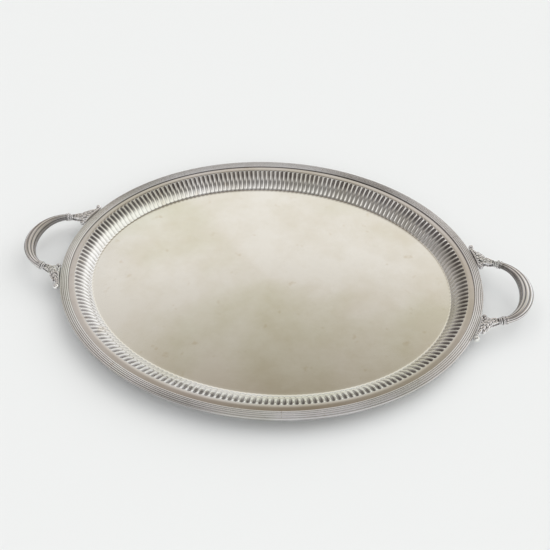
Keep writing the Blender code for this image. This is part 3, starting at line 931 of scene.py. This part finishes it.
def build_terminal_mesh():
    """Acanthus leaves wrapping the stem and spreading along both arms of the foot, cast as one."""
    parts = [stem_core(), foot_bar()]
    parts += [stem_ring(share, half_length) for share, half_length in STEM_RINGS]
    parts += leaves_and_berries(1.0)
    parts += leaves_and_berries(-1.0)
    parts += foot_beads()
    merged = bmesh.new()
    for mesh in parts:
        merged.from_mesh(mesh)
    shape = bpy.data.meshes.new("terminal")
    merged.to_mesh(shape)
    merged.free()
    holder = new_object("terminal_shape", shape)
    remesh = holder.modifiers.new("cast", "REMESH")
    remesh.mode = "VOXEL"
    remesh.voxel_size = TERMINAL_VOXEL
    smooth = holder.modifiers.new("soften", "SMOOTH")
    smooth.factor = SOFTEN_FACTOR
    smooth.iterations = SOFTEN_PASSES
    evaluated = holder.evaluated_get(bpy.context.evaluated_depsgraph_get())
    mesh = bpy.data.meshes.new_from_object(evaluated)
    bpy.data.objects.remove(holder, do_unlink=True)
    mesh.shade_smooth()
    # painted shade spots at the throat and the inner bead
    throat = on_stem(THROAT_SHARE, 0.0, 0.0)
    inner_bead = foot_point(-FOOT_INNER_ARM, BEAD_RADIUS + SOLDER, FOOT_Z)
    cavity_attribute(mesh, ((throat, THROAT_SHADE_SPOT), (inner_bead, BEAD_SHADE_SPOT)))
    return mesh


# ---- camera and studio ----------------------------------------------------------------------
def main_camera():
    """The camera at the photo's angle."""
    data = bpy.data.cameras.new("camera")
    data.lens = CAMERA_LENS
    data.sensor_width = CAMERA_SENSOR
    data.clip_start = CAMERA_NEAR
    camera = new_object("camera", data)
    turn = Matrix.Rotation(CAMERA_TURN, 3, "Z")
    forward = turn @ Vector((0.0, cos(CAMERA_ELEVATION), -sin(CAMERA_ELEVATION)))
    right = turn @ Vector((1.0, 0.0, 0.0))
    up = right.cross(forward)
    level_right = right * cos(CAMERA_ROLL) + up * sin(CAMERA_ROLL)
    level_up = up * cos(CAMERA_ROLL) - right * sin(CAMERA_ROLL)
    axes = Matrix((level_right, level_up, -forward)).transposed().to_4x4()
    axes.translation = CAMERA_TARGET - forward * CAMERA_DISTANCE
    camera.matrix_world = axes
    bpy.context.scene.camera = camera


def sun(name, towards, spread, strength):
    """Soft directional light from the direction given, left out of reflections."""
    data = bpy.data.lights.new(name, "SUN")
    data.angle = radians(spread)
    data.energy = strength
    light = new_object(name, data)
    light.rotation_euler = Vector(towards).to_track_quat("Z", "Y").to_euler()
    light.visible_glossy = False


def studio_floor():
    """A large sheet of pale paper."""
    floor = new_object("studio_floor", mesh_from(FLOOR_CORNERS, [(0, 1, 2, 3)]))
    paper = bpy.data.materials.new("paper")
    paper.use_nodes = True
    shader = paper.node_tree.nodes["Principled BSDF"]
    shader.inputs["Base Color"].default_value = (*PAPER_COLOUR, 1.0)
    shader.inputs["Roughness"].default_value = PAPER_ROUGHNESS
    shader.inputs["Specular IOR Level"].default_value = PAPER_SPECULAR
    floor.data.materials.append(paper)


def elevation_ramp(nodes, stops):
    """Colour of the surroundings by the sine of the elevation."""
    ramp = nodes.new("ShaderNodeValToRGB")
    elements = ramp.color_ramp.elements
    for element, (place, colour) in ((elements[0], stops[0]), (elements[1], stops[-1])):
        element.position = place
        element.color = (*colour, 1.0)
    for place, colour in stops[1:-1]:
        elements.new(place).color = (*colour, 1.0)
    return ramp


def backdrop():
    """Surroundings of different tones to the back, left, right and front."""
    world = bpy.data.worlds.new("studio_world")
    bpy.context.scene.world = world
    world.use_nodes = True
    nodes = world.node_tree.nodes
    links = world.node_tree.links
    background = nodes["Background"]
    coords = nodes.new("ShaderNodeTexCoord")
    split = nodes.new("ShaderNodeSeparateXYZ")
    links.new(coords.outputs["Generated"], split.inputs[0])

    def side(stops):
        ramp = elevation_ramp(nodes, stops)
        links.new(split.outputs["Z"], ramp.inputs["Fac"])
        return ramp.outputs["Color"]

    def turned(first, second, axis, turn):
        share = nodes.new("ShaderNodeMapRange")
        share.interpolation_type = "SMOOTHSTEP"
        share.inputs["From Min"].default_value = turn[0]
        share.inputs["From Max"].default_value = turn[1]
        links.new(split.outputs[axis], share.inputs["Value"])
        blend = nodes.new("ShaderNodeMix")
        blend.data_type = "RGBA"
        links.new(share.outputs["Result"], blend.inputs["Factor"])
        links.new(first, blend.inputs["A"])
        links.new(second, blend.inputs["B"])
        return blend.outputs["Result"]

    back = turned(side(BACKDROP_BACK), side(BACKDROP_LEFT), "X", TURN_TO_LEFT)
    back = turned(back, side(BACKDROP_RIGHT), "X", TURN_TO_RIGHT)
    front = turned(side(BACKDROP_FRONT), side(BACKDROP_FRONT_LEFT), "X", TURN_TO_FRONT_LEFT)
    links.new(turned(back, front, "Y", TURN_TO_FRONT), background.inputs["Color"])
    background.inputs["Strength"].default_value = 1.0


# ---- materials ------------------------------------------------------------------------------
def noise(nodes, links, coords, scale, detail, stretch=None, turn=0.0):
    """Noise over the object's own coordinates, which may be stretched into streaks."""
    texture = nodes.new("ShaderNodeTexNoise")
    texture.inputs["Scale"].default_value = scale
    texture.inputs["Detail"].default_value = detail
    texture.inputs["Roughness"].default_value = NOISE_ROUGHNESS
    if stretch:
        mapping = nodes.new("ShaderNodeMapping")
        mapping.inputs["Scale"].default_value = stretch
        mapping.inputs["Rotation"].default_value = (0.0, 0.0, radians(turn))
        links.new(coords.outputs["Object"], mapping.inputs["Vector"])
        links.new(mapping.outputs["Vector"], texture.inputs["Vector"])
    else:
        links.new(coords.outputs["Object"], texture.inputs["Vector"])
    return texture.outputs["Fac"]


def remap(nodes, links, value, low, high, to_low=0.0, to_high=1.0):
    """A value taken from one range to another, and held at its ends."""
    node = nodes.new("ShaderNodeMapRange")
    names = ("From Min", "From Max", "To Min", "To Max")
    for name, number in zip(names, (low, high, to_low, to_high)):
        node.inputs[name].default_value = number
    links.new(value, node.inputs["Value"])
    return node.outputs["Result"]


def maths(nodes, links, operation, first, second):
    """One sum or product of two sockets, or of a socket and a number."""
    node = nodes.new("ShaderNodeMath")
    node.operation = operation
    for socket, value in zip(node.inputs, (first, second)):
        if isinstance(value, float):
            socket.default_value = value
        else:
            links.new(value, socket)
    return node.outputs[0]


def tinted(nodes, links, base, colour, share):
    """The base colour, multiplied by another where share is 1."""
    node = nodes.new("ShaderNodeMix")
    node.data_type = "RGBA"
    node.blend_type = "MULTIPLY"
    if isinstance(base, tuple):
        node.inputs["A"].default_value = (*base, 1.0)
    else:
        links.new(base, node.inputs["A"])
    node.inputs["B"].default_value = (*colour, 1.0)
    links.new(share, node.inputs["Factor"])
    return node.outputs["Result"]


def stored(nodes, name):
    """The number that each vertex carries under this name."""
    attribute = nodes.new("ShaderNodeAttribute")
    attribute.attribute_name = name
    return attribute.outputs["Fac"]


def silver(name, bright, tarnish, roughness, tarnish_and_shade_dark, tarnish_and_shade_colour, blotches, scratches):
    """Worn silver: warm blotches, small spots, fine scratches, and dark recesses of tarnish and painted
    shade.
    """
    material = bpy.data.materials.new(name)
    material.use_nodes = True
    nodes = material.node_tree.nodes
    links = material.node_tree.links
    shader = nodes["Principled BSDF"]
    shader.inputs["Metallic"].default_value = 1.0
    coords = nodes.new("ShaderNodeTexCoord")
    tools = (nodes, links)

    blotch = remap(*tools, noise(*tools, coords, blotches, 5.0), *BLOTCH_RANGE)
    colour = tinted(*tools, bright, tarnish, blotch)
    green = remap(*tools, noise(*tools, coords, blotches * GREEN_SCALE, 3.0), *GREEN_RANGE)
    colour = tinted(*tools, colour, GREEN_TINT, green)
    spots = remap(*tools, noise(*tools, coords, blotches * SPOT_SCALE, 2.0), *SPOT_RANGE)
    colour = tinted(*tools, colour, SPOT_TINT, spots)
    colour = tinted(*tools, colour, FLANGE_COLOUR, stored(nodes, "flange"))
    # the "groove" attribute carries tarnish and painted shade alike
    groove = stored(nodes, "groove")
    uneven = noise(*tools, coords, UNEVEN_SCALE, 3.0)
    uneven = remap(*tools, uneven, *MID_RANGE, UNEVEN_SHARE * tarnish_and_shade_dark, tarnish_and_shade_dark)
    depth = maths(*tools, "MULTIPLY", groove, uneven)
    colour = tinted(*tools, colour, tarnish_and_shade_colour, depth)
    links.new(colour, shader.inputs["Base Color"])

    wear = noise(*tools, coords, WEAR_SCALE, 5.0)
    smooth, dull = (roughness * factor for factor in WEAR_ROUGHNESS)
    rough = remap(*tools, wear, *MID_RANGE, smooth, dull)
    if scratches:
        lines = []
        for scale, stretch, turn, line_range in SCRATCHES:
            streaks = noise(*tools, coords, scale, 3.0, stretch, turn)
            lines.append(remap(*tools, streaks, *line_range))
        lines = maths(*tools, "ADD", *lines)
        rough = maths(*tools, "ADD", rough, maths(*tools, "MULTIPLY", lines, SCRATCH_ROUGHNESS))
    links.new(rough, shader.inputs["Roughness"])
    bump = nodes.new("ShaderNodeBump")
    bump.inputs["Strength"].default_value = BUMP_STRENGTH
    bump.inputs["Distance"].default_value = BUMP_DISTANCE
    links.new(wear, bump.inputs["Height"])
    links.new(bump.outputs["Normal"], shader.inputs["Normal"])
    return material


# ---- scene ----------------------------------------------------------------------------------
bpy.context.scene.view_settings.view_transform = "Standard"
main_camera()
studio_floor()
backdrop()
for name, towards, spread, strength in SUNS:
    sun(name, towards, spread, strength)

SHEET_SILVER = silver(
    "plated_sheet_looks",
    bright=(0.95, 0.94, 0.92),
    tarnish=(0.88, 0.85, 0.78),
    roughness=0.10,
    tarnish_and_shade_dark=0.95,
    tarnish_and_shade_colour=(0.10, 0.08, 0.08),
    blotches=7.0,
    scratches=True,
)
WIRE_SILVER = silver(
    "reeded_wire_looks",
    bright=(0.93, 0.92, 0.92),
    tarnish=(0.90, 0.88, 0.86),
    roughness=0.10,
    tarnish_and_shade_dark=0.76,
    tarnish_and_shade_colour=(0.12, 0.11, 0.11),
    blotches=16.0,
    scratches=True,
)
GRIP_SILVER = silver(
    "grip_looks",
    bright=(0.97, 0.96, 0.97),
    tarnish=(0.95, 0.91, 0.87),
    roughness=0.05,
    tarnish_and_shade_dark=0.97,
    tarnish_and_shade_colour=(0.07, 0.06, 0.055),
    blotches=24.0,
    scratches=False,
)
CAST_SILVER = silver(
    "cast_looks",
    bright=(0.98, 0.97, 0.97),
    tarnish=(0.92, 0.90, 0.88),
    roughness=0.09,
    tarnish_and_shade_dark=0.97,
    tarnish_and_shade_colour=(0.06, 0.05, 0.05),
    blotches=40.0,
    scratches=False,
)

body = build_body()
body.data.materials.append(SHEET_SILVER)
for piece in build_border():
    piece.data.materials.append(WIRE_SILVER)
grip_mesh = build_grip_mesh()
for side, sign_x in HANDLE_SIDES:
    grip = new_object(f"{side}_reeded_grip", mirrored(grip_mesh, sign_x, 1.0))
    grip.data.materials.append(GRIP_SILVER)
    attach(grip, "root")
    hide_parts(f"{side}_grip")
collar_mesh = build_collar_mesh()
terminal_mesh = build_terminal_mesh()
for side, sign_x in HANDLE_SIDES:
    for end, sign_y in HANDLE_ENDS:
        for kind, shape in (("collar", collar_mesh), ("terminal", terminal_mesh)):
            casting = new_object(f"{side}_{end}_leaf_{kind}", mirrored(shape, sign_x, sign_y))
            casting.data.materials.append(CAST_SILVER)
            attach(casting, "root")
            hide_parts(f"{side}_{end}_{kind}")
